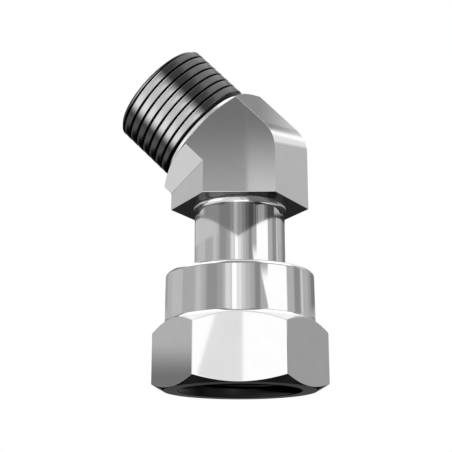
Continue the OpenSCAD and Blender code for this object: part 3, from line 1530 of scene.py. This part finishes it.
FRONT = (
    Panel(-104, 96, 14.85, 20, 0.52, 10, 0.2, rise=0.008),
    Panel(119, 18, 14.7, 20, 0.44, 4, 0.3),
    Panel(59, 26, 9.5, 14.3, 1.0, 1.5, 1, 1.0, -5.5),
    Panel(10, 24, -2, 11, 1.0, 0.4, 2, 0.6),
    Panel(-6, 16, -2, 11, 1.0, 1, 2, 0.6),
    Panel(-1.6, 2.6, 3, 11, 0.74, 0.06, 1, 0.2),
    Panel(-7.4, 10, 6.9, 11, 1.0, 0.15, 1, 0.2, 0.3),
)
UPPER = stripes(
    0, 17.2, 1, 0.2,
    (-150, 60, 0.11, 14), (-110, 24, 0.25, 8), (-70, 60, 0.24, 10), (-37, 32, 0.19, 8),
    (-18, 8, 0.24, 4), (-9.5, 9, 0.42, 5), (0, 10, 0.28, 5), (9, 8, 0.2, 4),
    (19, 12, 0.11, 6), (30, 14, 0.06, 5), (40, 6, 0.1, 3), (46, 5, 0.17, 3),
    (56, 15, 0.32, 4), (70, 10, 0.18, 6), (91, 36, 0.06, 10), (142, 80, 0.02, 8),
) + (
    Panel(-90, 180, 17.3, 95, 0.165, 0.1, 0.2),
    Panel(-90, 180, 17.3, 19.6, 0.34, 0.1, 0.2, 5),
    Panel(90, 180, 17.3, 95, 0.16, 0.1, 0.2),
    Panel(90, 180, 17.3, 19.6, 0.54, 0.1, 0.2, 5),
    Panel(-123, 40, 16.3, 21, 0.46, 6, 0.3, 4),
    Panel(124, 50, 16.3, 24, 0.44, 6, 0.3, 4),
)
CEILING = (
    Panel(0, 400, 36, 95, 1.1, 1, 10),
    Panel(-66, 66, 22, 95, 1.1, 16, 6),
    Panel(64, 60, 23, 95, 1.1, 8, 1),
    Panel(-178, 34, 24, 60, 1.1, 8, 3),
    Panel(2, 68, 24, 66, 0.3, 14, 3, 12),
    Panel(130, 26, 25, 38, 0.74, 8, 8, 5),
    Panel(136, 8, 32, 38, 0.98, 6, 4, 4),
    Panel(154, 32, 38.5, 49, 0.24, 8, 5, 4),
)


@dataclass
class Studio:
    """Camera, panels, lamp and floor.

    Attributes:
        lens: Focal length on a sensor 36 mm wide.
        eye: Place of the camera in millimetres.
        pitch: How far it looks up, in degrees.
        yaw: How far it looks towards -X, in degrees.
        below: Panels and flags below the arched edge, each over the ones before.
        above: Panels and flags above it.
        edge: Elevation of the edge where its arches meet, in degrees.
        edge_fade: Width over which the edge fades, in degrees.
        arch: How far the arches rise.
        arch_rate: Degrees of an arch's sine in one degree of azimuth.
        arch_shift: Azimuth, counted towards -X, at which two arches meet.
        horizon: Elevations between which the ground fades into the surround.
        ground: Brightness below the horizon where there is no panel.
        surround: Brightness above it where there is no panel.
        gain: Strength of a panel whose level is 1.
        fill: Level of the soft light on matt surfaces.
        lamp_place: Place of the lamp in metres.
        lamp_size: Its width in metres.
        lamp_energy: Its power in watts.
        floor_size: Width of the floor in metres.
        floor_drop: How far it lies below the nut's face, in millimetres.
        floor_grey: Its grey.
    """

    lens: float = 81.86
    eye: tuple[float, float, float] = (1.136, -146.482, -16.79)
    pitch: float = 15.667
    yaw: float = 1.237
    below: tuple[Panel, ...] = GROUND + LOWER + FRONT
    above: tuple[Panel, ...] = UPPER + CEILING
    edge: float = 15.1
    edge_fade: float = 0.06
    arch: float = 1.0
    arch_rate: float = 0.85
    arch_shift: float = 4.0
    horizon: tuple[float, float] = (-3.0, 1.0)
    ground: float = 0.3
    surround: float = 0.42
    gain: float = 1.28
    fill: float = 0.7
    lamp_place: tuple[float, float, float] = (0.12, -0.2, 0.5)
    lamp_size: float = 0.5
    lamp_energy: float = 1.2
    floor_size: float = 1.2
    floor_drop: float = 0.02
    floor_grey: float = 0.8

    def build(self) -> None:
        """Makes the camera, the world, the lamp and the floor."""
        self.make_camera()
        self.make_world()
        self.make_lamp()
        self.make_floor()
        LOG.info("studio: %d panels", len(self.below) + len(self.above))

    def make_camera(self) -> None:
        """Stands the camera where the photograph was taken from."""
        data = bpy.data.cameras.new("camera")
        data.lens = self.lens
        data.sensor_width = 36.0
        data.clip_start = 0.01
        camera = new_object("camera", data)
        camera.location = Vector(self.eye) * MM
        camera.rotation_euler = (math.radians(90 + self.pitch), 0, math.radians(self.yaw))
        bpy.context.scene.camera = camera

    def make_world(self) -> None:
        """Makes a white room whose panels show only in the metal.

        Two layers of panels meet at an edge at elevation edge + arch x
        |sin(rate x (azimuth + shift))|, which is where one arch meets the next.
        """
        world = bpy.data.worlds.new("studio")
        bpy.context.scene.world = world
        sheet = NodeSheet(world)
        direction = sheet.add("ShaderNodeTexCoord").outputs["Generated"]
        x, y, z = sheet.add("ShaderNodeSeparateXYZ", {0: direction}).outputs
        azimuth = sheet.math("ARCTAN2", x, sheet.math("MULTIPLY", y, -1.0))
        azimuth = sheet.math("MULTIPLY", azimuth, math.degrees(1))
        elevation = sheet.math("MULTIPLY", sheet.math("ARCSINE", z), math.degrees(1))
        ground = sheet.ramp(elevation, *self.horizon, (self.ground, self.surround))
        layers = []
        for level, panels in ((ground, self.below), (self.surround, self.above)):
            for panel in panels:
                level = sheet.mix(panel.cover(sheet, azimuth, elevation), level, panel.level)
            layers.append(level)
        shift = self.arch_rate * self.arch_shift
        turn = sheet.math("RADIANS", sheet.math("MULTIPLY_ADD", azimuth, self.arch_rate, shift))
        wave = sheet.math("ABSOLUTE", sheet.math("SINE", turn))
        over = sheet.math("MULTIPLY_ADD", wave, -self.arch, elevation)
        half = self.edge_fade / 2
        over = sheet.ramp(over, self.edge - half, self.edge + half)
        level = sheet.math("MULTIPLY", sheet.mix(over, *layers), self.gain)
        grey, plain, white = (
            sheet.add("ShaderNodeBackground", {"Color": WHITE, "Strength": strength}).outputs[0]
            for strength in (level, self.fill, 1.0)
        )
        path = sheet.add("ShaderNodeLightPath").outputs
        mirrored = sheet.add("ShaderNodeMixShader", {0: path["Is Glossy Ray"], 1: plain, 2: grey})
        seen = sheet.math("MAXIMUM", path["Is Camera Ray"], path["Is Transmission Ray"])
        final = sheet.add("ShaderNodeMixShader", {0: seen, 1: mirrored.outputs[0], 2: white})
        sheet.output("ShaderNodeOutputWorld", final)

    def make_lamp(self) -> None:
        """Hangs one broad soft lamp for the floor's shadow."""
        data = bpy.data.lights.new("overhead", "AREA")
        data.shape = "DISK"
        data.size = self.lamp_size
        data.energy = self.lamp_energy
        lamp = new_object("overhead", data)
        lamp.location = self.lamp_place
        lamp.rotation_euler = (-lamp.location).to_track_quat("-Z", "Y").to_euler()
        lamp.visible_glossy = False

    def make_floor(self) -> None:
        """Lays a pale floor that shows only from above."""
        half, height, grey = self.floor_size / 2, -self.floor_drop * MM, self.floor_grey
        corners = [(-half, -half), (half, -half), (half, half), (-half, half)]
        mesh = bpy.data.meshes.new("floor")
        mesh.from_pydata([(x, y, height) for x, y in corners], [], [(0, 1, 2, 3)])
        material = bpy.data.materials.new("pale_floor")
        sheet = NodeSheet(material)
        above = sheet.add("ShaderNodeNewGeometry").outputs["Backfacing"]
        pale = sheet.add("ShaderNodeBsdfDiffuse", {"Color": (grey, grey, grey, 1)})
        clear = sheet.add("ShaderNodeBsdfTransparent")
        inputs = {0: above, 1: pale.outputs[0], 2: clear.outputs[0]}
        sheet.output("ShaderNodeOutputMaterial", sheet.add("ShaderNodeMixShader", inputs))
        mesh.materials.append(material)
        floor = new_object("floor", mesh)
        floor.visible_glossy = False


def main() -> None:
    """Builds the studio and every piece in order."""
    logging.basicConfig(level=logging.INFO, format="%(name)s: %(message)s")
    seats = Seats.from_frame(frame["record"])
    LOG.info("seats: %s", seats)
    bpy.context.scene.view_settings.view_transform = "Standard"
    Studio().build()
    for piece in (
        ElbowBody(seats), SwivelTail(seats), BrazeRing(seats), NoseRing(), SwivelNut(seats),
        RetainingWire(),
    ):
        piece.build()


if __name__ == "__main__":
    main()
